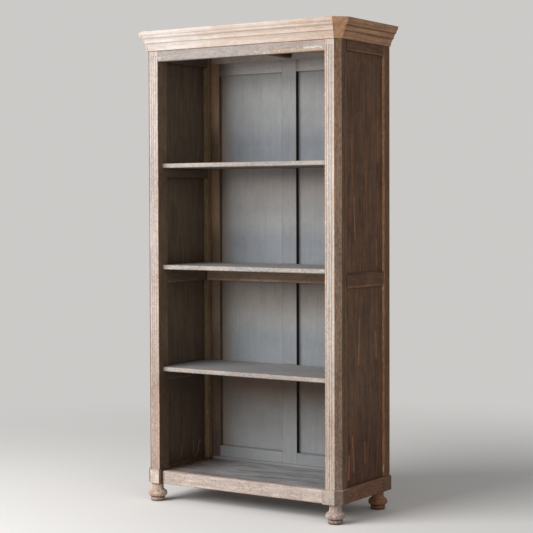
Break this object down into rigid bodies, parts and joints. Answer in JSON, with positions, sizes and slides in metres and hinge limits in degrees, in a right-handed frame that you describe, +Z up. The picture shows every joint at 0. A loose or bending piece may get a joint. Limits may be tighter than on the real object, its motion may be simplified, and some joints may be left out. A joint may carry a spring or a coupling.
{
  "type": "open bookcase cabinet",
  "caption": "Tall open bookcase in worn paint: moulded cornice, fluted chamfered corner posts, panelled sides and back, fixed shelves, low plinth and turned bun feet.",
  "frame": {"origin": "on the floor, under the middle of the bounding box", "axes": "+X to the right seen from the open front, the front faces -Y, +Z up"},
  "size_m": [1.037, 0.457, 2],
  "materials": {
    "cream_paint": "limed and worn paint",
    "white_paint": "worn whitish paint",
    "blue_grey_paint": "thin worn grey paint",
    "brown_paint": "dark worn taupe",
    "bare_wood": "bare aged pine",
    "iron": "dull iron"
  },
  "bodies": {
    "root": {"back_bottom_rail_left": "blue_grey_paint", "back_bottom_rail_right": "blue_grey_paint", "back_floor_strip": "blue_grey_paint", "back_muntin": "blue_grey_paint", "back_panel_left": "blue_grey_paint", "back_panel_right": "blue_grey_paint", "back_pins": "iron", "back_stile_left": "blue_grey_paint", "back_stile_right": "blue_grey_paint", "back_top_rail_left": "blue_grey_paint", "back_top_rail_right": "blue_grey_paint", "back_upper_rail": "blue_grey_paint", "bottom_board": "blue_grey_paint", "ceiling_board": "bare_wood", "cleat_lower_left": "blue_grey_paint", "cleat_lower_right": "blue_grey_paint", "cleat_screws": "iron", "cleat_upper_left": "blue_grey_paint", "cleat_upper_right": "blue_grey_paint", "cornice_back": "cream_paint", "cornice_corner_left": "cream_paint", "cornice_corner_right": "cream_paint", "cornice_front": "cream_paint", "cornice_side_left": "cream_paint", "cornice_side_right": "cream_paint", "cover_board": "bare_wood", "floor_bearers": "bare_wood", "foot_front_left": "white_paint", "foot_front_right": "white_paint", "foot_rear_left": "brown_paint", "foot_rear_right": "brown_paint", "frieze_rail": "white_paint", "front_post_left": "white_paint", "front_post_right": "white_paint", "glue_blocks": "bare_wood", "middle_shelf_batten": "blue_grey_paint", "plinth_block_front_left": "white_paint", "plinth_block_front_right": "white_paint", "plinth_block_rear_left": "brown_paint", "plinth_block_rear_right": "brown_paint", "plinth_rail_back": "bare_wood", "plinth_rail_front": "white_paint", "plinth_rail_left": "brown_paint", "plinth_rail_right": "brown_paint", "rear_post_left": "brown_paint", "rear_post_right": "brown_paint", "shelf_lower": "blue_grey_paint", "shelf_middle": "blue_grey_paint", "shelf_upper": "blue_grey_paint", "side_lining_left": "brown_paint", "side_lining_right": "brown_paint", "side_mid_rail_left": "brown_paint", "side_mid_rail_right": "brown_paint", "side_panel_lower_left": "brown_paint", "side_panel_lower_right": "brown_paint", "side_panel_upper_left": "brown_paint", "side_panel_upper_right": "brown_paint", "side_top_rail_left": "brown_paint", "side_top_rail_right": "brown_paint", "top_bearer": "bare_wood"}
  },
  "joints": []
}
